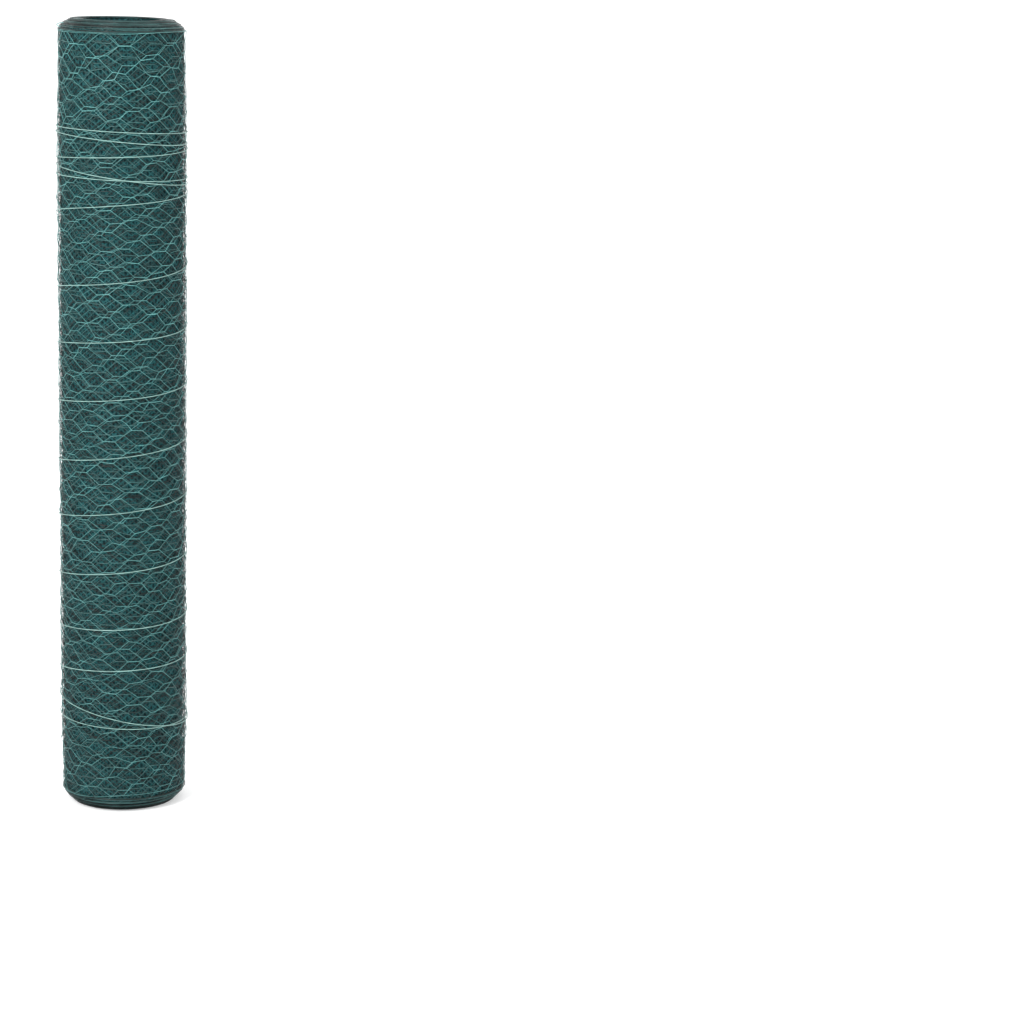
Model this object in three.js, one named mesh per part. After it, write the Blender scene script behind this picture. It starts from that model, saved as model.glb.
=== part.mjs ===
// Roll of green coated hexagonal wire netting for a wire mesh fence, stored standing on one end, with the
// thin wire that is wound round it from the bottom to the top to keep it closed.
// Millimetres, +Z up. The origin is the centre of the lower end, on the floor; -Y is the side seen first.
import * as THREE from "three";

// The netting as it is sold.
const NETTING_LENGTH = 25000; // length of the sheet that is rolled up
const NETTING_WIDTH = 1000; // width of the sheet, which is the height of the standing roll
const BORE_RADIUS = 49; // the open middle, left by the mandrel that the sheet was wound on
const TURN_BUILD = 0.51; // how much each turn adds to the radius: the wires of one turn bed into the next

// The ends of the roll. The outer turns were pulled tightest, so they are narrower than the inner ones.
const SHOULDER_WIDTH = 20; // how far in from the outside the turns start to fall short of the ends
const SHOULDER_CURVE = 1.5; // 1 is a straight slope from the first of these turns to the last
const LOWER_SHOULDER_HEIGHT = 22; // how far above the floor the outermost turn stops
const UPPER_SHOULDER_HEIGHT = 14; // how far below the top the outermost turn stops
const RINGS_ON_END = 9; // rings cut into each end, each standing for several turns of the sheet
const RING_GROOVE_WIDTH = 1;
const RING_GROOVE_DEPTH = 2.5;
const CORNERS_ROUND = 40; // flat sides that stand for one full circle

// The binding wire.
const BINDING_WIRE_RADIUS = 0.5;
const BINDING_CLEARANCE = 0.3; // between the wire and the roll, and between two passes where they cross
const BINDING_SIDES = 6;
const BINDING_LOWER_MARGIN = 118; // from the lower end of the netting to the wire's first pass
const BINDING_UPPER_MARGIN = 132; // from the wire's last pass to the upper end of the netting
// Where the wire passes the left and the right side of the roll, as a share of the way from the first pass
// to the last. Seen from the front it runs from left to right on each pass, and it climbs behind the roll.
const BINDING_PASSES = [
  { left: 0, right: -0.008 },
  { left: 0.032, right: -0.013 },
  { left: 0.08, right: 0.105 },
  { left: 0.155, right: 0.18 },
  { left: 0.245, right: 0.284 },
  { left: 0.345, right: 0.388 },
  { left: 0.44, right: 0.483 },
  { left: 0.541, right: 0.576 },
  { left: 0.639, right: 0.671 },
  { left: 0.733, right: 0.775 },
  { left: 0.859, right: 0.893 },
  { left: 0.921, right: 0.917 },
  { left: 0.937, right: 0.907 },
  { left: 0.948, right: 0.965 },
  { left: 0.991, right: 0.973 },
  { left: 1, right: 0.992 },
];
const CROSSING_RISE_TURNS = 0.045; // how long, in turns, the wire takes to climb over the pass under it
const CROSSING_TOP_TURNS = 0.1; // how long it stays up

const outerRadius = Math.sqrt(BORE_RADIUS ** 2 + (NETTING_LENGTH * TURN_BUILD) / Math.PI);
const halfStepCosine = Math.cos(Math.PI / CORNERS_ROUND);

const nettingGreen = new THREE.MeshStandardMaterial({
  name: "netting_green",
  color: 0x2f6f68,
  roughness: 0.45,
  metalness: 0.0,
});
const bindingGreen = new THREE.MeshStandardMaterial({
  name: "binding_green",
  color: 0x7fa79d,
  roughness: 0.4,
  metalness: 0.2,
});

// How far the turns at this radius stop short of the end of the roll.
function shortfall(radius, shoulderHeight) {
  const into = Math.max(0, radius - (outerRadius - SHOULDER_WIDTH)) / SHOULDER_WIDTH;
  return shoulderHeight * into ** SHOULDER_CURVE;
}

// Outline of one end from the bore outwards: a flat ring for each group of turns, with a groove between
// one ring and the next. endHeight is the end's height and inwards points from it into the roll.
function endOutline(endHeight, inwards, shoulderHeight) {
  const ringWidth = (outerRadius - BORE_RADIUS) / RINGS_ON_END;
  const outline = [];
  for (let ring = 0; ring < RINGS_ON_END; ring++) {
    const innerEdge = BORE_RADIUS + ring * ringWidth;
    const outerEdge = innerEdge + ringWidth;
    const depth = shortfall(innerEdge + ringWidth / 2, shoulderHeight);
    const face = endHeight + inwards * depth;
    const insideGroove = ring === 0 ? 0 : RING_GROOVE_WIDTH / 2;
    const outsideGroove = ring === RINGS_ON_END - 1 ? 0 : RING_GROOVE_WIDTH / 2;
    outline.push(new THREE.Vector2(innerEdge + insideGroove, face));
    outline.push(new THREE.Vector2(outerEdge - outsideGroove, face));
    if (outsideGroove > 0) {
      const nextDepth = shortfall(outerEdge + ringWidth / 2, shoulderHeight);
      const grooveFloor = endHeight + inwards * (Math.max(depth, nextDepth) + RING_GROOVE_DEPTH);
      outline.push(new THREE.Vector2(outerEdge, grooveFloor));
    }
  }
  return outline;
}

// The rolled netting: one turned body with its bore, and its turns as rings on both ends.
function makeNettingRoll() {
  const lowerEnd = endOutline(0, 1, LOWER_SHOULDER_HEIGHT);
  const upperEnd = endOutline(NETTING_WIDTH, -1, UPPER_SHOULDER_HEIGHT);
  const profile = [...lowerEnd, ...upperEnd.reverse(), lowerEnd[0].clone()];
  const geometry = new THREE.LatheGeometry(profile, CORNERS_ROUND);
  geometry.rotateX(Math.PI / 2);
  const roll = new THREE.Mesh(geometry, nettingGreen);
  roll.name = "netting_roll";
  return roll;
}

// Turns are counted anticlockwise from above, starting at the right side (+X), so pass number n crosses
// the left side at n + 1/2 turns and the right side at n + 1.
function bindingHeights() {
  const climb = NETTING_WIDTH - BINDING_LOWER_MARGIN - BINDING_UPPER_MARGIN;
  const heights = [];
  BINDING_PASSES.forEach((pass, number) => {
    heights.push({ turns: number + 0.5, height: BINDING_LOWER_MARGIN + pass.left * climb });
    heights.push({ turns: number + 1, height: BINDING_LOWER_MARGIN + pass.right * climb });
  });
  const first = heights[0];
  const last = heights[heights.length - 1];
  heights.unshift({ turns: first.turns - 0.25, height: first.height });
  heights.push({ turns: last.turns + 0.25, height: last.height });
  return heights;
}

// The wire's height after a number of turns, straight from one named height to the next and eased there.
function heightAt(heights, turns) {
  const next = Math.max(1, heights.findIndex((point) => point.turns >= turns));
  const before = heights[Math.max(0, next - 2)];
  const from = heights[next - 1];
  const to = heights[next];
  const after = heights[Math.min(heights.length - 1, next + 1)];
  const share = (turns - from.turns) / (to.turns - from.turns);
  const slopeFrom = (to.height - before.height) / (to.turns - before.turns);
  const slopeTo = (after.height - from.height) / (after.turns - from.turns);
  const span = to.turns - from.turns;
  const share2 = share ** 2;
  const share3 = share ** 3;
  return (
    (2 * share3 - 3 * share2 + 1) * from.height +
    (share3 - 2 * share2 + share) * span * slopeFrom +
    (-2 * share3 + 3 * share2) * to.height +
    (share3 - share2) * span * slopeTo
  );
}

// The turns at which a pass lies on top of the one a full turn before it, because it runs down over it.
function crossings(heights) {
  const found = [];
  const step = 1 / CORNERS_ROUND;
  const start = heights[0].turns + 1;
  const end = heights[heights.length - 1].turns;
  const above = (turns) => heightAt(heights, turns) - heightAt(heights, turns - 1);
  for (let turns = start; turns + step <= end; turns += step) {
    if (above(turns) > 0 !== above(turns + step) > 0) {
      found.push(turns + step / 2);
    }
  }
  return found;
}

// The binding wire's centre line. Its corners lie at the corners of the roll, so that the gap between the
// wire and the flat sides of the roll is the same all the way.
class BindingRoute extends THREE.Curve {
  constructor() {
    super();
    this.heights = bindingHeights();
    this.crossings = crossings(this.heights);
    this.start = this.heights[0].turns;
    this.end = this.heights[this.heights.length - 1].turns;
  }

  liftAt(turns) {
    const lift = 2 * BINDING_WIRE_RADIUS + BINDING_CLEARANCE;
    const up = this.crossings.map((crossing) => {
      const away = Math.abs(turns - crossing) - CROSSING_TOP_TURNS;
      return 1 - THREE.MathUtils.smoothstep(away, 0, CROSSING_RISE_TURNS);
    });
    return lift * Math.max(0, ...up);
  }

  getPoint(share, target = new THREE.Vector3()) {
    const turns = THREE.MathUtils.lerp(this.start, this.end, share);
    const offset = BINDING_CLEARANCE + BINDING_WIRE_RADIUS + this.liftAt(turns);
    const radius = outerRadius + offset / halfStepCosine;
    const angle = turns * 2 * Math.PI;
    const height = heightAt(this.heights, turns);
    return target.set(radius * Math.cos(angle), radius * Math.sin(angle), height);
  }

  getPointAt(share, target) {
    return this.getPoint(share, target);
  }

  getTangentAt(share, target) {
    return this.getTangent(share, target);
  }
}

// The wire that is wound round the roll, in one length.
function makeBindingWire() {
  const route = new BindingRoute();
  const section = new THREE.Shape();
  for (let side = 0; side < BINDING_SIDES; side++) {
    const angle = (side * 2 * Math.PI) / BINDING_SIDES;
    const x = BINDING_WIRE_RADIUS * Math.cos(angle);
    const y = BINDING_WIRE_RADIUS * Math.sin(angle);
    side === 0 ? section.moveTo(x, y) : section.lineTo(x, y);
  }
  section.closePath();
  const geometry = new THREE.ExtrudeGeometry(section, {
    extrudePath: route,
    steps: Math.round((route.end - route.start) * CORNERS_ROUND),
  });
  const wire = new THREE.Mesh(geometry, bindingGreen);
  wire.name = "binding_wire";
  return wire;
}

const fenceRoll = new THREE.Group();
fenceRoll.add(makeNettingRoll(), makeBindingWire());

export default fenceRoll;
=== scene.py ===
"""Roll of green coated hexagonal wire netting for a wire mesh fence, standing on end and tied with wire.

Metres, +Z up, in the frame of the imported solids. The sizes that a user would change are scene properties.
"""

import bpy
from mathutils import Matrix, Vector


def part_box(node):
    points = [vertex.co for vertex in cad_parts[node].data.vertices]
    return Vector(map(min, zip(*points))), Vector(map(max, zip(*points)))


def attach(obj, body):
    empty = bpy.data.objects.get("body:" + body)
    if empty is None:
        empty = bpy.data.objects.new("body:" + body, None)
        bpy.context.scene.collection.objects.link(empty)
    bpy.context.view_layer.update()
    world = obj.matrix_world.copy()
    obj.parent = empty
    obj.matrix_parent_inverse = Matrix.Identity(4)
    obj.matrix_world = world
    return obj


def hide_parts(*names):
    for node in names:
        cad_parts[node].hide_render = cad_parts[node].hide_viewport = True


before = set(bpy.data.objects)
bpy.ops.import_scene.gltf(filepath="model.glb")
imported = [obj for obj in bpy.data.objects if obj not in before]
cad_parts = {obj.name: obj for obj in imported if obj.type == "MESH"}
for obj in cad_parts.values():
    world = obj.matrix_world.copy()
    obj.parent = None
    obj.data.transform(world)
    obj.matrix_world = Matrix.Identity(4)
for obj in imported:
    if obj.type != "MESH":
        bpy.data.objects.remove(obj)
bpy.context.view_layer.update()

import math
import random

import bpy
import numpy as np
from mathutils import Matrix, Vector

bl_info = {
    "name": "Wire mesh fence roll",
    "version": (1, 0, 0),
    "blender": (4, 5, 0),
    "location": "View3D > Sidebar > Fence roll",
    "description": "Models a standing roll of hexagonal wire netting, tied with thin wire",
    "category": "Object",
}

ROLL_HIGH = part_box("netting_roll")[1]
OUTER_RADIUS = ROLL_HIGH.x


class FenceRollNetting(bpy.types.PropertyGroup):
    """Sizes of the netting and of the roll that it is wound into"""

    bore_radius: bpy.props.FloatProperty(
        name="Bore radius", description="Radius of the open middle of the roll", default=0.049,
        unit="LENGTH",
    )
    tight_build: bpy.props.FloatProperty(
        name="Tight turn build", description="How much each of the tight outer turns adds to the radius",
        default=0.00032, unit="LENGTH",
    )
    tight_depth: bpy.props.FloatProperty(
        name="Tight depth", description="How deep into the roll its turns are pulled tight", default=0.0048,
        unit="LENGTH",
    )
    length: bpy.props.FloatProperty(
        name="Netting length", description="Length of the sheet that is rolled up", default=25.0,
        unit="LENGTH",
    )
    width: bpy.props.FloatProperty(
        name="Netting width", description="Width of the sheet, the roll's height", default=ROLL_HIGH.z,
        unit="LENGTH",
    )
    meshes_wide: bpy.props.IntProperty(
        name="Meshes wide", description="Number of meshes across the sheet", default=36
    )
    mesh_length: bpy.props.FloatProperty(
        name="Mesh length", description="From one column of twists to the next but one", default=0.065,
        unit="LENGTH",
    )
    twist_length: bpy.props.FloatProperty(
        name="Twist length", description="Length over which two wires are twisted together", default=0.016,
        unit="LENGTH",
    )
    wire_radius: bpy.props.FloatProperty(
        name="Wire radius", description="Radius of the coated wire", default=0.00028, unit="LENGTH"
    )
    shoulder_width: bpy.props.FloatProperty(
        name="Shoulder width", description="How far in from the outside the turns start to fall short",
        default=0.020, unit="LENGTH",
    )
    lower_shoulder: bpy.props.FloatProperty(
        name="Lower shoulder", description="How far above the floor the outermost turn stops", default=0.022,
        unit="LENGTH",
    )
    upper_shoulder: bpy.props.FloatProperty(
        name="Upper shoulder", description="How far below the top the outermost turn stops", default=0.014,
        unit="LENGTH",
    )


class FenceRollBinding(bpy.types.PropertyGroup):
    """Sizes of the wire that is wound round the roll"""

    wire_radius: bpy.props.FloatProperty(
        name="Binding wire radius", description="Radius of the wire round the roll", default=0.0005,
        unit="LENGTH",
    )
    lower_end: bpy.props.FloatProperty(
        name="Lower end", description="Height of the wire's lower end", default=0.118, unit="LENGTH"
    )
    upper_end: bpy.props.FloatProperty(
        name="Upper end", description="From the wire's upper end to the top of the roll", default=0.132,
        unit="LENGTH",
    )


class FenceRollFinish(bpy.types.PropertyGroup):
    """Colours of the wires"""

    netting: bpy.props.FloatVectorProperty(
        name="Netting green", description="Colour of the netting's coat", subtype="COLOR", size=3,
        default=(0.104, 0.308, 0.300), min=0, max=1,
    )
    binding: bpy.props.FloatVectorProperty(
        name="Binding green", description="Colour of the binding wire's coat", subtype="COLOR", size=3,
        default=(0.20, 0.35, 0.32), min=0, max=1,
    )


def coated_wire_material(name, colour, roughness, blotch_scale, buried_shade=None):
    """Plastic coat on thin wire: a little dust and wear in the colour, small dents in the surface.
    buried_shade is a painted shade: how dark the coat is painted deep in the roll, where the outer turns
    keep the light off it."""
    material = bpy.data.materials.new(name)
    material.use_nodes = True
    nodes, links = material.node_tree.nodes, material.node_tree.links
    shader = nodes["Principled BSDF"]
    place = nodes.new("ShaderNodeTexCoord")
    blotches = nodes.new("ShaderNodeTexNoise")
    blotches.inputs["Scale"].default_value = blotch_scale
    blotches.inputs["Detail"].default_value = 3
    links.new(place.outputs["Object"], blotches.inputs["Vector"])
    ramp = nodes.new("ShaderNodeValToRGB")
    ramp.color_ramp.elements[0].position = 0.32
    ramp.color_ramp.elements[0].color = (*(c * 0.7 for c in colour), 1)
    ramp.color_ramp.elements[1].position = 0.68
    ramp.color_ramp.elements[1].color = (*(c * 1.22 for c in colour), 1)
    links.new(blotches.outputs["Fac"], ramp.inputs["Fac"])
    if buried_shade is None:
        links.new(ramp.outputs["Color"], shader.inputs["Base Color"])
    else:
        shade = nodes.new("ShaderNodeMix")
        shade.data_type = "RGBA"
        shade.blend_type = "MULTIPLY"
        shade.inputs["Factor"].default_value = 1
        links.new(ramp.outputs["Color"], shade.inputs["A"])
        links.new(painted_shade_in_roll(nodes, links, place, buried_shade), shade.inputs["B"])
        links.new(shade.outputs["Result"], shader.inputs["Base Color"])
    dents = nodes.new("ShaderNodeTexNoise")
    dents.inputs["Scale"].default_value = 900
    links.new(place.outputs["Object"], dents.inputs["Vector"])
    bump = nodes.new("ShaderNodeBump")
    bump.inputs["Strength"].default_value = 0.15
    bump.inputs["Distance"].default_value = 0.0001
    links.new(dents.outputs["Fac"], bump.inputs["Height"])
    links.new(bump.outputs["Normal"], shader.inputs["Normal"])
    sheen = nodes.new("ShaderNodeMapRange")
    sheen.inputs["To Min"].default_value = roughness * 0.8
    sheen.inputs["To Max"].default_value = roughness * 1.25
    links.new(dents.outputs["Fac"], sheen.inputs["Value"])
    links.new(sheen.outputs["Result"], shader.inputs["Roughness"])
    return material


BRIGHT_DEPTH, BURIED_DEPTH = 0.0010, 0.0038  # painted shade: the coat's colour darkens from the first of these depths to the second, where the outer turns shade the wires below
FOOT_SHADE, FOOT_SHADE_HEIGHT = 0.74, 0.7  # painted shade towards the foot, where less light reaches: its share at the floor, and the height above which it has gone


def painted_shade_in_roll(nodes, links, place, buried_shade):
    """A painted shade, multiplied into the coat's colour: from 1 at the outside and the ends of the roll to
    buried_shade a few turns further in, where the outer turns shade the wires below, and a little less
    towards the foot, where less light reaches."""
    depth = nodes.new("ShaderNodeAttribute")
    depth.attribute_name = "depth"
    buried = nodes.new("ShaderNodeMapRange")
    links.new(depth.outputs["Fac"], buried.inputs["Value"])
    buried.inputs["From Min"].default_value = BRIGHT_DEPTH
    buried.inputs["From Max"].default_value = BURIED_DEPTH
    buried.inputs["To Min"].default_value = 1
    buried.inputs["To Max"].default_value = buried_shade
    parts = nodes.new("ShaderNodeSeparateXYZ")
    links.new(place.outputs["Object"], parts.inputs["Vector"])
    foot = nodes.new("ShaderNodeMapRange")
    links.new(parts.outputs["Z"], foot.inputs["Value"])
    foot.inputs["From Max"].default_value = FOOT_SHADE_HEIGHT
    foot.inputs["To Min"].default_value = FOOT_SHADE
    both = nodes.new("ShaderNodeMath")
    both.operation = "MULTIPLY"
    links.new(buried.outputs["Result"], both.inputs[0])
    links.new(foot.outputs["Result"], both.inputs[1])
    return both.outputs["Value"]


WAVE_PER_METRE = 0.314  # the wave texture's scale that gives one line a metre
BURIED_WIRES = [(40, 0.0062), (-40, 0.0067), (86, 0.0049)]  # slant in degrees and spacing


def unrolled_place(nodes, links):
    """A point on the roll as it would lie if its outside were laid flat: round the roll, then height."""
    place = nodes.new("ShaderNodeTexCoord")
    parts = nodes.new("ShaderNodeSeparateXYZ")
    links.new(place.outputs["Object"], parts.inputs["Vector"])
    angle = nodes.new("ShaderNodeMath")
    angle.operation = "ARCTAN2"
    links.new(parts.outputs["Y"], angle.inputs[0])
    links.new(parts.outputs["X"], angle.inputs[1])
    around = nodes.new("ShaderNodeMath")
    around.operation = "MULTIPLY"
    around.inputs[1].default_value = OUTER_RADIUS
    links.new(angle.outputs["Value"], around.inputs[0])
    flat = nodes.new("ShaderNodeCombineXYZ")
    links.new(around.outputs["Value"], flat.inputs["X"])
    links.new(parts.outputs["Z"], flat.inputs["Y"])
    return flat.outputs["Vector"]


def wire_lines(nodes, links, flat, slant, spacing):
    """Thin wavering lines at this slant in degrees, this far apart: 1 on a wire and 0 between wires."""
    turned = nodes.new("ShaderNodeMapping")
    turned.inputs["Rotation"].default_value = (0, 0, math.radians(slant + 90))
    links.new(flat, turned.inputs["Vector"])
    lines = nodes.new("ShaderNodeTexWave")
    lines.inputs["Scale"].default_value = WAVE_PER_METRE / spacing
    lines.inputs["Distortion"].default_value = 2.5
    lines.inputs["Detail"].default_value = 2
    lines.inputs["Detail Scale"].default_value = 0.35
    links.new(turned.outputs["Vector"], lines.inputs["Vector"])
    thin = nodes.new("ShaderNodeMapRange")
    thin.inputs["From Min"].default_value = 0.72
    thin.inputs["From Max"].default_value = 0.97
    links.new(lines.outputs["Fac"], thin.inputs["Value"])
    return thin.outputs["Result"]


def packed_turns_material(name, dark, wire):
    """The look between the outer turns: dark, a painted shade for wire deep in the roll, crossed by the
    wires of the turns below, painted as dim lines in the same shade.
    """
    material = bpy.data.materials.new(name)
    material.use_nodes = True
    nodes, links = material.node_tree.nodes, material.node_tree.links
    shader = nodes["Principled BSDF"]
    flat = unrolled_place(nodes, links)
    first, *others = BURIED_WIRES
    strongest = wire_lines(nodes, links, flat, *first)
    for slant, spacing in others:
        either = nodes.new("ShaderNodeMath")
        either.operation = "MAXIMUM"
        links.new(strongest, either.inputs[0])
        links.new(wire_lines(nodes, links, flat, slant, spacing), either.inputs[1])
        strongest = either.outputs["Value"]
    mixed = nodes.new("ShaderNodeMix")
    mixed.data_type = "RGBA"
    mixed.inputs["A"].default_value = (*dark, 1)
    mixed.inputs["B"].default_value = (*wire, 1)
    links.new(strongest, mixed.inputs["Factor"])
    links.new(mixed.outputs["Result"], shader.inputs["Base Color"])
    shader.inputs["Roughness"].default_value = 0.9
    shader.inputs["Specular IOR Level"].default_value = 0.15
    return material


class Waver:
    """A smooth seeded wandering over the sheet, about -1 to 1, as hand-wound wire has."""

    def __init__(self, seed, along, across, waves=6):
        pick = random.Random(seed)
        self.waves = []
        for _ in range(waves):
            turn = pick.uniform(0, 2 * math.pi)
            spread = pick.uniform(0.7, 1.4)
            self.waves.append(
                (
                    2 * math.pi * spread * math.cos(turn) / along,
                    2 * math.pi * spread * math.sin(turn) / across,
                    pick.uniform(0, 2 * math.pi),
                )
            )

    def at(self, along, across):
        total = 0
        for a, b, phase in self.waves:
            total = total + np.sin(a * along + b * across + phase)
        return total / math.sqrt(len(self.waves) * 1.5)


SLOW_ALONG, SLOW_ACROSS, SLOW_OUT = Waver(3, 0.34, 0.26), Waver(4, 0.31, 0.23), Waver(5, 0.19, 0.12)
QUICK_ALONG, QUICK_ACROSS = Waver(6, 0.085, 0.062, 9), Waver(7, 0.079, 0.057, 9)
QUICK_OUT = Waver(13, 0.06, 0.04, 9)
DRIFT = Waver(10, 1.1, 0.9)
END_LOW, END_HIGH = Waver(8, 0.31, 9.0), Waver(9, 0.37, 9.0)
GROUPING, WEATHER = Waver(11, 0.9, 9.0), Waver(12, 0.6, 9.0)

SPIRAL_ANGLE = math.radians(118)  # how far the whole spiral is turned about the roll's axis
SHOULDER_CURVE = 1.5  # 1 is a straight slope from the first of the short turns to the last
LOWER_GROUPS, UPPER_GROUPS = 6, 7  # groups of turns that have slipped together at each end

# How the sheet wanders in the roll. Depths are from the outside of the roll and heights from its nearer end.
# A wander is about how far a slow or a quick wave moves a point, with more on looser turns.
LOOSE_DEPTHS = (0.010, 0.0012)  # from where the turns are looser to where they are loosest
SLACK_DEPTHS = (0.0016, 0.0004)  # the same for the outermost turns, which only the binding wire holds
NEAR_END_HEIGHT = 0.18  # the outermost turns are slackest this near to an end
HELD_HEIGHT = 0.06  # this near to an edge the meshes are held by it
SLOW_WANDER, LOOSE_SLOW_WANDER = 0.004, 0.004
QUICK_WANDER, LOOSE_QUICK_WANDER = 0.0005, 0.0006
SLACK_WANDER, SLACK_END_WANDER = 0.0017, 0.0018
DRIFT_ACROSS = 0.008
OUTWARD_WANDER, SLACK_OUTWARD_WANDER = 0.0002, 0.0005
SLACK_STAND_OFF, SLACK_BUMPS = 0.0002, 0.0004
RAGGED_ENDS, RAGGED_SHOULDERS = 0.0008, 0.0005
DRAWN_IN = 0.0021  # how much tighter the outer turns lie near the ends

# The outermost turn where it has sprung away from the others.
SPRUNG_OUT = 0.0024
SPRUNG_ANGLE, SPRUNG_SPREAD = math.radians(-25), 0.42
SPRUNG_HEIGHTS = (0.006, 0.034)


def ease(value, start, end):
    share = np.clip((value - start) / (end - start), 0, 1)
    return share * share * (3 - 2 * share)


def tight_length(netting):
    """Length of the sheet in the outer turns, which were pulled tight."""
    inner = OUTER_RADIUS - netting.tight_depth
    return math.pi * (OUTER_RADIUS**2 - inner**2) / netting.tight_build


def wound_radius(netting, along):
    """Radius and number of turns reached after this length of the sheet, from the bore outwards."""
    inner = OUTER_RADIUS - netting.tight_depth
    soft_length = netting.length - tight_length(netting)
    soft_build = math.pi * (inner**2 - netting.bore_radius**2) / soft_length
    soft = np.sqrt(netting.bore_radius**2 + np.minimum(along, soft_length) * soft_build / math.pi)
    tight = np.sqrt(inner**2 + np.maximum(0, along - soft_length) * netting.tight_build / math.pi)
    turns = (soft - netting.bore_radius) / soft_build + (tight - inner) / netting.tight_build
    return np.where(along < soft_length, soft, tight), turns


def stepped(inset, groups, along):
    """The shoulder of an end, where the turns have slipped in groups, so that it falls in steps."""
    level = np.clip(inset, 0, 1) * groups + 0.3 * GROUPING.at(along, 0.0)
    whole = np.floor(level)
    return np.clip((whole + ease(level - whole, 0.9, 1.0)) / groups, 0, 1) ** SHOULDER_CURVE


def sprung_edge(netting, depth, angle, across):
    """The outermost turn has sprung a little away from the others at the upper right."""
    last_turn = 1 - ease(depth, netting.tight_build * 0.8, netting.tight_build)
    near_top = 1 - ease(netting.width - across, *SPRUNG_HEIGHTS)
    aside = (angle + SPIRAL_ANGLE - SPRUNG_ANGLE + math.pi) % (2 * math.pi) - math.pi
    return SPRUNG_OUT * last_turn * near_top * np.exp(-((aside / SPRUNG_SPREAD) ** 2))


def wander(radius, along, across, from_edge):
    """How far a point of the sheet has moved along it, across it and outwards, as hand-wound wire does."""
    outer = OUTER_RADIUS
    loose = ease(radius, outer - LOOSE_DEPTHS[0], outer - LOOSE_DEPTHS[1])
    slack = ease(radius, outer - SLACK_DEPTHS[0], outer - SLACK_DEPTHS[1])
    near_ends = 1 - ease(from_edge, 0.0, NEAR_END_HEIGHT)
    slow = SLOW_WANDER + LOOSE_SLOW_WANDER * loose
    quick = QUICK_WANDER + LOOSE_QUICK_WANDER * loose + slack * (SLACK_WANDER + SLACK_END_WANDER * near_ends)
    moved_along = slow * SLOW_ALONG.at(along, across) + quick * QUICK_ALONG.at(along, across)
    moved_across = ease(from_edge, 0.0, HELD_HEIGHT) * (
        DRIFT_ACROSS * DRIFT.at(along, across)
        + 0.5 * slow * SLOW_ACROSS.at(along, across)
        + quick * QUICK_ACROSS.at(along, across)
    )
    moved_out = (OUTWARD_WANDER + SLACK_OUTWARD_WANDER * slack) * SLOW_OUT.at(along, across)
    moved_out = moved_out + SLACK_STAND_OFF * slack + SLACK_BUMPS * slack * QUICK_OUT.at(along, across)
    return moved_along, moved_across, moved_out


def end_heights(netting, radius, along, across):
    """Heights of the lower and the upper edge of the sheet where it lies at this radius."""
    inset = np.maximum(0, radius - (OUTER_RADIUS - netting.shoulder_width)) / netting.shoulder_width
    lower_step = stepped(inset, LOWER_GROUPS, along)
    upper_step = stepped(inset, UPPER_GROUPS, along + 0.4)
    ragged = RAGGED_ENDS + RAGGED_SHOULDERS * np.minimum(1, inset)
    low = netting.lower_shoulder * lower_step + np.maximum(0, ragged * (0.9 + END_LOW.at(along, across)))
    high = netting.upper_shoulder * upper_step + np.maximum(0, ragged * (0.9 + END_HIGH.at(along, across)))
    return low, netting.width - high


def rolled(along, out, across):
    """Where a point of the flat sheet lies in the roll, with the wander of its turn."""
    netting = bpy.context.scene.fence_roll_netting
    outer = OUTER_RADIUS
    radius, turns = wound_radius(netting, along)
    angle = 2 * math.pi * turns
    from_edge = np.minimum(across, netting.width - across)
    moved_along, moved_across, moved_out = wander(radius, along, across, from_edge)
    moved_out = moved_out + sprung_edge(netting, outer - radius, angle, across)
    low, high = end_heights(netting, radius, along, across)
    height = low + (across + moved_across) / netting.width * (high - low)
    drawn_in = 1 - ease(netting.width - across, 0.01, 0.16) + 0.9 * (1 - ease(across, 0.01, 0.09))
    drawn_in = DRAWN_IN * drawn_in * ease(radius, outer - 0.006, outer)
    radius = radius + out + moved_out - drawn_in
    angle = angle + moved_along / radius + SPIRAL_ANGLE
    return np.stack([radius * np.cos(angle), radius * np.sin(angle), height], axis=-1)


END_DEPTH = 0.0010  # painted shade: the depth that the ends of the inner turns look as dark as
END_FADE = 0.10  # how much more for each metre behind the end
CROWDED_DEPTH = 0.0011  # painted shade: how much more along the edges, where the wires lie close and shade each other
CROWDED_HEIGHTS = (0.001, 0.014)
WEATHERED_DEPTH = 0.0014  # how much more on average on the turns that have weathered


def hidden_depth(along, across):
    """How deep a point lies under the outer turns or behind the ends, which sets the coat's painted shade,
    with more painted shade along the crowded edges and more on turns that weathered more.
    """
    netting = bpy.context.scene.fence_roll_netting
    under = OUTER_RADIUS - wound_radius(netting, along)[0]
    from_edge = np.minimum(across, netting.width - across)
    behind = END_DEPTH + END_FADE * from_edge
    crowded = CROWDED_DEPTH * (1 - ease(from_edge, *CROWDED_HEIGHTS))
    weather = WEATHERED_DEPTH * (1 + WEATHER.at(along, 0.0)) * ease(under, 0.0002, 0.001)
    return np.minimum(under, behind) + weather + crowded


def roll_up(piece, start):
    """Winds the flat sheet into the roll: x is its length, -y its outer side and z its width."""
    count = len(piece.data.vertices)
    flat = np.empty(count * 3)
    piece.data.vertices.foreach_get("co", flat)
    flat = flat.reshape(-1, 3)
    wound = rolled(flat[:, 0] + start, -flat[:, 1], flat[:, 2])
    piece.data.vertices.foreach_set("co", wound.ravel())
    # The depth attribute sets how much painted shade the coat gets in its material.
    depth = piece.data.attributes.new("depth", "FLOAT", "POINT")
    depth.data.foreach_set("value", hidden_depth(flat[:, 0] + start, flat[:, 2]).astype(np.float32))
    piece.data.update()


def deselect_all():
    for piece in bpy.context.selected_objects:
        piece.select_set(False)


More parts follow.
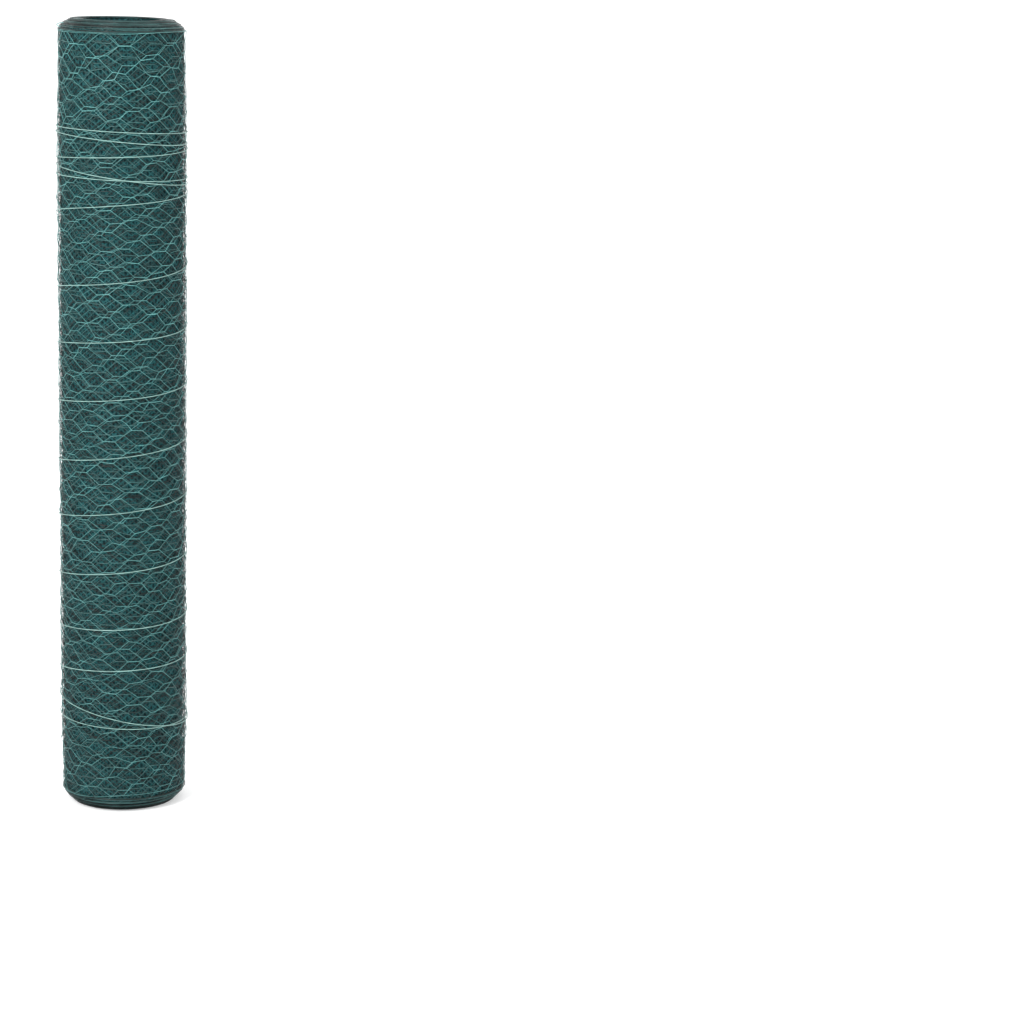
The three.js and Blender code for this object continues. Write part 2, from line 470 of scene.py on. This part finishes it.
def only(piece):
    deselect_all()
    piece.select_set(True)
    bpy.context.view_layer.objects.active = piece
    return piece


def wire_section(radius, sides):
    """The round section of a wire, as a closed curve that a wire is drawn with."""
    deselect_all()
    bpy.ops.mesh.primitive_circle_add(vertices=sides, radius=radius, fill_type="NOTHING")
    bpy.ops.object.convert(target="CURVE")
    return bpy.context.object


def drawn_wire(name, points, radius, sides, capped=False):
    """A wire along points, drawn as a curve with a round section and made a mesh."""
    section = wire_section(radius, sides)
    curve = bpy.data.curves.new(name, "CURVE")
    curve.dimensions = "3D"
    curve.twist_mode = "Z_UP"
    curve.bevel_mode = "OBJECT"
    curve.bevel_object = section
    curve.use_fill_caps = capped
    spline = curve.splines.new("POLY")
    spline.points.add(len(points) - 1)
    for point, place in zip(spline.points, points):
        point.co = (*place, 1)
    wire = bpy.data.objects.new(name, curve)
    bpy.context.collection.objects.link(wire)
    only(wire)
    bpy.ops.object.convert(target="MESH")
    wire = bpy.context.object
    bpy.data.objects.remove(section)
    return wire


def joined(pieces, name):
    only(pieces[0])
    for piece in pieces[1:]:
        piece.select_set(True)
    bpy.ops.object.join()
    whole = bpy.context.object
    whole.name = name
    whole.data.name = name
    return whole


MERGE_DISTANCE = 0.00002


def repeated(piece, count, step, merge):
    only(piece)
    array = piece.modifiers.new("repeat", "ARRAY")
    array.count = count
    array.use_relative_offset = False
    array.use_constant_offset = True
    array.constant_offset_displace = step
    array.use_merge_vertices = merge
    array.merge_threshold = MERGE_DISTANCE
    bpy.ops.object.modifier_apply(modifier=array.name)


LAY_SHARE = 0.75  # a wire's distance from the middle of its twist, in wire radii: the coats press together
EDGE_MARGIN = 0.001  # from each edge of the sheet to its first row of meshes


def twisted_pair_side(centre, across, length, lay_radius, turns, steps, phase):
    """Half of a twisted pair: one wire's points as it winds round the other along the twist."""
    points = []
    for step in range(steps + 1):
        share = step / steps
        angle = phase + 2 * math.pi * turns * share
        points.append(
            (
                centre - length / 2 + length * share,
                lay_radius * math.sin(angle),
                across + lay_radius * math.cos(angle),
            )
        )
    return points


def strand_points(netting, pitch, side, turns, steps):
    """One wire over one mesh length: half a slant, a twist, a slant, the next twist and half a slant.
    side 1 is the lower wire of a mesh and -1 the upper one, which runs as its mirror image. With no turns
    in a twist, its two wires lie straight, one further out than the other."""
    period, twist = netting.mesh_length, netting.twist_length
    lay = netting.wire_radius * LAY_SHARE
    level = (lambda height: height) if side > 0 else (lambda height: pitch - height)
    run = period / 2 - twist
    start = twist / 2 + run / 2
    points = [(start, 0, level(pitch / 4))]
    first_phase = math.pi / 2 if turns == 0 else 0
    phase = first_phase + (math.pi if side > 0 else 0)
    points += twisted_pair_side(period / 2, level(pitch / 2), twist, lay, turns, steps, phase)
    phase = first_phase + (0 if side > 0 else math.pi)
    points += twisted_pair_side(period, level(0), twist, lay, turns, steps, phase)
    points.append((period + start, 0, level(pitch / 4)))
    return points


def sheet_strip(name, meshes, turns, steps, sides, end_rows=None):
    """A flat strip of netting, so many meshes long and the whole sheet wide. With end_rows it has only
    that many rows of meshes along each edge."""
    netting = bpy.context.scene.fence_roll_netting
    pitch = (netting.width - 2 * EDGE_MARGIN) / netting.meshes_wide
    wires = []
    for side in (1, -1):
        points = strand_points(netting, pitch, side, turns, steps)
        wire = drawn_wire("strand", points, netting.wire_radius, sides)
        repeated(wire, meshes, (netting.mesh_length, 0, 0), True)
        bpy.ops.object.mode_set(mode="EDIT")
        bpy.ops.mesh.select_all(action="SELECT")
        bpy.ops.mesh.fill_holes(sides=sides)
        bpy.ops.mesh.normals_make_consistent(inside=False)
        bpy.ops.object.mode_set(mode="OBJECT")
        wires.append(wire)
    strip = joined(wires, name)
    for vertex in strip.data.vertices:
        vertex.co.z += EDGE_MARGIN
    if end_rows is None:
        repeated(strip, netting.meshes_wide, (0, 0, pitch), False)
    else:
        repeated(strip, 2, (0, 0, pitch * (netting.meshes_wide - end_rows)), False)
        repeated(strip, end_rows, (0, 0, pitch), False)
    return strip


def finished(piece, material, node):
    piece.data.materials.clear()
    piece.data.materials.append(material)
    only(piece)
    bpy.ops.object.shade_smooth()
    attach(piece, "root")
    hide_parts(node)
    return piece


def material_named(name, make):
    return bpy.data.materials.get(name) or make()


def netting_material():
    finish = bpy.context.scene.fence_roll_finish
    # buried_shade here is a painted shade: deep in the roll the coat is painted down to a twenty-fifth of
    # its green.
    return material_named(
        "netting_coat",
        lambda: coated_wire_material("netting_coat", finish.netting, 0.30, 60, buried_shade=0.04),
    )


def packed_material():
    finish = bpy.context.scene.fence_roll_finish
    # Painted shade: the packed turns' dark colour and their lines are the netting green darkened, as wire
    # this deep in the roll lies in shade.
    dark = tuple(value * share for value, share in zip(finish.netting, (0.01, 0.05, 0.06)))
    wire = tuple(value * share for value, share in zip(finish.netting, (0.16, 0.25, 0.27)))
    return material_named("packed_turns", lambda: packed_turns_material("packed_turns", dark, wire))


def binding_material():
    finish = bpy.context.scene.fence_roll_finish
    return material_named(
        "binding_coat", lambda: coated_wire_material("binding_coat", finish.binding, 0.42, 90)
    )


# The sheet from the bore outwards, as (name, meshes along, turns in a twist, steps in a twist, wire sides,
# rows kept at each edge). The outermost turns are seen close, so their wires really twist round each other.
# Further in the two wires of a twist lie straight. Of the turns between the bore and the outer ones only the
# rows near the ends are wires: between the ends they are one body, the packed turns.
SHEET_PARTS = [
    ("netting_bore", 26, 0, 1, 3, None),
    ("netting_inner_ends", 238, 0, 1, 3, 3),
    ("netting_turns_1", 68, 0, 1, 3, None),
    ("netting_turns_2", 15, 1, 6, 3, None),
    ("netting_turns_3", 15, 1, 6, 3, None),
    ("netting_turns_4", 11, 2, 10, 4, None),
    ("netting_turns_5", 11, 2, 10, 4, None),
]


class FENCEROLL_OT_netting(bpy.types.Operator):
    """Model the rolled netting, one woven sheet in a spiral"""

    bl_idname = "fenceroll.netting"
    bl_label = "Netting"

    def execute(self, context):
        netting = context.scene.fence_roll_netting
        start = 0.0
        for name, meshes, *detail in SHEET_PARTS:
            strip = sheet_strip(name, meshes, *detail)
            roll_up(strip, start)
            start += meshes * netting.mesh_length
            finished(strip, netting_material(), "netting_roll")
        return {"FINISHED"}


PACKED_BEHIND_BORE = 0.0026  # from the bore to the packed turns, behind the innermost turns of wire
PACKED_BELOW_ENDS = 0.0014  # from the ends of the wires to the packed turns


class FENCEROLL_OT_packed_turns(bpy.types.Operator):
    """Model the turns deep in the roll, where wire fills the sight, as one body open at the bore"""

    bl_idname = "fenceroll.packed_turns"
    bl_label = "Packed turns"

    def execute(self, context):
        netting = context.scene.fence_roll_netting
        inner = netting.bore_radius + PACKED_BEHIND_BORE
        outer = OUTER_RADIUS - netting.tight_depth
        level = OUTER_RADIUS - netting.shoulder_width
        below = PACKED_BELOW_ENDS
        share = (1 - netting.tight_depth / netting.shoulder_width) ** SHOULDER_CURVE
        low, high = below + share * netting.lower_shoulder, below + share * netting.upper_shoulder
        profile = [
            (inner, below), (level, below), (outer, low),
            (outer, netting.width - high), (level, netting.width - below), (inner, netting.width - below),
        ]
        mesh = bpy.data.meshes.new("packed_turns")
        edges = [(corner, (corner + 1) % len(profile)) for corner in range(len(profile))]
        mesh.from_pydata([(radius, 0, height) for radius, height in profile], edges, [])
        body = bpy.data.objects.new("packed_turns", mesh)
        context.collection.objects.link(body)
        only(body)
        turning = body.modifiers.new("turning", "SCREW")
        turning.steps = turning.render_steps = 96
        turning.use_merge_vertices = True
        bpy.ops.object.modifier_apply(modifier=turning.name)
        bpy.ops.object.mode_set(mode="EDIT")
        bpy.ops.mesh.select_all(action="SELECT")
        bpy.ops.mesh.normals_make_consistent(inside=False)
        bpy.ops.object.mode_set(mode="OBJECT")
        finished(body, packed_material(), "netting_roll")
        return {"FINISHED"}


EDGE_LEVEL = 0.0006  # from the sheet's edge to the middle of its two edge wires
EDGE_START = 0.03  # from the start of the sheet to the start of its edge wires
EDGE_LAY_SHARE = 0.8  # an edge wire's distance from the middle of its pair, in wire radii
EDGE_TWIST = math.radians(31.5)  # sets how far the two edge wires stand apart, in three steps that repeat


class FENCEROLL_OT_selvedges(bpy.types.Operator):
    """Model the two edges of the sheet, each a pair of wires that waver past each other"""

    bl_idname = "fenceroll.selvedges"
    bl_label = "Selvedges"

    def execute(self, context):
        netting = context.scene.fence_roll_netting
        step = netting.mesh_length / 6
        total = sum(part[1] for part in SHEET_PARTS) * netting.mesh_length
        lay = netting.wire_radius * EDGE_LAY_SHARE
        for name, level in (("selvedge_lower", EDGE_LEVEL), ("selvedge_upper", netting.width - EDGE_LEVEL)):
            wires = []
            for side in (1, -1):
                points = []
                for number in range(int(total / step)):
                    wound = side * lay * math.cos(EDGE_TWIST * (1 + number % 3))
                    points.append((number * step, wound, level + side * lay * 0.35))
                wires.append(drawn_wire("edge", points, netting.wire_radius, 3, capped=True))
            edge = joined(wires, name)
            roll_up(edge, EDGE_START)
            finished(edge, netting_material(), "netting_roll")
        return {"FINISHED"}


LOOP_STEPS = 16
LOOP_REACH, LOOP_HALF_HEIGHT = 0.0190, 0.0027


class FENCEROLL_OT_loose_wires(bpy.types.Operator):
    """Model the loop of the netting's edge that sticks out at the upper left"""

    bl_idname = "fenceroll.loose_wires"
    bl_label = "Loose wires"

    def execute(self, context):
        netting = context.scene.fence_roll_netting
        root = Vector((-0.060, -0.016, netting.width - 0.0088))
        points = []
        for number in range(LOOP_STEPS + 1):
            share = number / LOOP_STEPS
            angle = math.radians(-150 + 300 * share)
            reach = LOOP_REACH * (1 - abs(2 * share - 1)) ** 0.5
            points.append(root + Vector((-reach, 0, LOOP_HALF_HEIGHT * math.sin(angle) + 0.02 * reach)))
        loop = drawn_wire("edge_loop", points, netting.wire_radius * 1.6, 6, capped=True)
        finished(loop, netting_material(), "netting_roll")
        return {"FINISHED"}


HOOK_TURNS, HOOK_STEPS = 3, 16  # how often a hook goes round, and its points in one turn
HOOK_RADIUS, HOOK_PITCH = 0.0009, 0.0011


class FENCEROLL_OT_binding(bpy.types.Operator):
    """Finish the wire that is wound round the roll, and coil a small hook at each of its two ends"""

    bl_idname = "fenceroll.binding"
    bl_label = "Binding wire"

    def execute(self, context):
        binding = context.scene.fence_roll_binding
        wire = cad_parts["binding_wire"]
        wire.data.materials.clear()
        wire.data.materials.append(binding_material())
        hooks = []
        for height in (binding.lower_end, context.scene.fence_roll_netting.width - binding.upper_end):
            points = []
            for number in range(HOOK_TURNS * HOOK_STEPS + 1):
                turn = number / HOOK_STEPS
                angle = 2 * math.pi * turn + math.pi / 2
                points.append(
                    Vector((0.0004 + HOOK_PITCH * turn, ROLL_HIGH.y, height))
                    + HOOK_RADIUS * Vector((0, math.sin(angle), math.cos(angle)))
                )
            hooks.append(drawn_wire("hook", points, binding.wire_radius * 0.9, 6, capped=True))
        hook = joined(hooks, "binding_hooks")
        hook.data.materials.clear()
        hook.data.materials.append(binding_material())
        only(hook)
        bpy.ops.object.shade_smooth()
        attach(hook, "root")
        return {"FINISHED"}


# Name, place, the point that it shines at, width and watts.
LIGHTS = [
    ("key", (-1.6, -2.4, 2.3), (0, 0, 0.55), 1.0, 95),
    ("fill", (2.2, -2.0, 1.2), (0, 0, 0.5), 1.8, 18),
]
FLOOR_WIDTH, FLOOR_DROP = 120, 0.0003


class FENCEROLL_OT_stage(bpy.types.Operator):
    """Set the pale floor, the soft light and the camera"""

    bl_idname = "fenceroll.stage"
    bl_label = "Stage"

    def execute(self, context):
        deselect_all()
        bpy.ops.mesh.primitive_plane_add(size=FLOOR_WIDTH, location=(0, 0, -FLOOR_DROP))
        floor = context.object
        floor.name = "floor"
        paper = bpy.data.materials.new("floor_white")
        paper.use_nodes = True
        shader = paper.node_tree.nodes["Principled BSDF"]
        shader.inputs["Base Color"].default_value = (0.8, 0.8, 0.8, 1)
        shader.inputs["Emission Color"].default_value = (1, 1, 1, 1)
        shader.inputs["Emission Strength"].default_value = 0.35
        shader.inputs["Roughness"].default_value = 0.9
        floor.data.materials.append(paper)
        world = context.scene.world or bpy.data.worlds.new("surroundings")
        context.scene.world = world
        world.use_nodes = True
        sky = world.node_tree.nodes["Background"]
        sky.inputs["Color"].default_value = (1, 1, 1, 1)
        sky.inputs["Strength"].default_value = 1.1
        for name, place, aim, size, power in LIGHTS:
            deselect_all()
            bpy.ops.object.light_add(type="AREA", location=place)
            light = context.object
            light.name = name
            light.data.size = size
            light.data.energy = power
            direction = Vector(aim) - Vector(place)
            light.rotation_euler = direction.to_track_quat("-Z", "Y").to_euler()
        context.scene.view_settings.view_transform = "Standard"
        camera_set(context)
        return {"FINISHED"}


def camera_set(context):
    """The camera stands in front, a little above the roll's top, and is turned to the right of the roll."""
    distance, height = 3.7, 1.169
    yaw, pitch, lean = (math.radians(angle) for angle in (7.706, 11.994, 1.404))
    deselect_all()
    bpy.ops.object.camera_add(location=(0, -distance, height))
    camera = context.object
    camera.name = "camera"
    camera.data.sensor_width = 36
    camera.data.lens = 103.313
    camera.data.clip_start = 0.05
    camera.data.clip_end = 200
    turned = Matrix.Rotation(-yaw, 4, "Z") @ Matrix.Rotation(math.pi / 2 - pitch, 4, "X")
    turned = turned @ Matrix.Rotation(lean, 4, "Z")
    camera.rotation_mode = "QUATERNION"
    camera.rotation_quaternion = turned.to_quaternion()
    context.scene.camera = camera


class FENCEROLL_PT_panel(bpy.types.Panel):
    """Lists the pieces of the roll"""

    bl_label = "Fence roll"
    bl_idname = "FENCEROLL_PT_panel"
    bl_space_type = "VIEW_3D"
    bl_region_type = "UI"
    bl_category = "Fence roll"

    def draw(self, context):
        for operator in OPERATORS:
            self.layout.operator(operator.bl_idname)
        for group in ("fence_roll_netting", "fence_roll_binding", "fence_roll_finish"):
            settings = getattr(context.scene, group)
            box = self.layout.box()
            for key in settings.__annotations__:
                box.prop(settings, key)


OPERATORS = [
    FENCEROLL_OT_netting,
    FENCEROLL_OT_packed_turns,
    FENCEROLL_OT_selvedges,
    FENCEROLL_OT_loose_wires,
    FENCEROLL_OT_binding,
    FENCEROLL_OT_stage,
]
GROUPS = [
    ("fence_roll_netting", FenceRollNetting),
    ("fence_roll_binding", FenceRollBinding),
    ("fence_roll_finish", FenceRollFinish),
]


def register():
    for name, group in GROUPS:
        bpy.utils.register_class(group)
        setattr(bpy.types.Scene, name, bpy.props.PointerProperty(type=group))
    for operator in OPERATORS:
        bpy.utils.register_class(operator)
    bpy.utils.register_class(FENCEROLL_PT_panel)


def unregister():
    bpy.utils.unregister_class(FENCEROLL_PT_panel)
    for operator in reversed(OPERATORS):
        bpy.utils.unregister_class(operator)
    for name, group in reversed(GROUPS):
        delattr(bpy.types.Scene, name)
        bpy.utils.unregister_class(group)


def main():
    register()
    bpy.ops.fenceroll.netting()
    bpy.ops.fenceroll.packed_turns()
    bpy.ops.fenceroll.selvedges()
    bpy.ops.fenceroll.loose_wires()
    bpy.ops.fenceroll.binding()
    bpy.ops.fenceroll.stage()


if __name__ == "__main__":
    main()
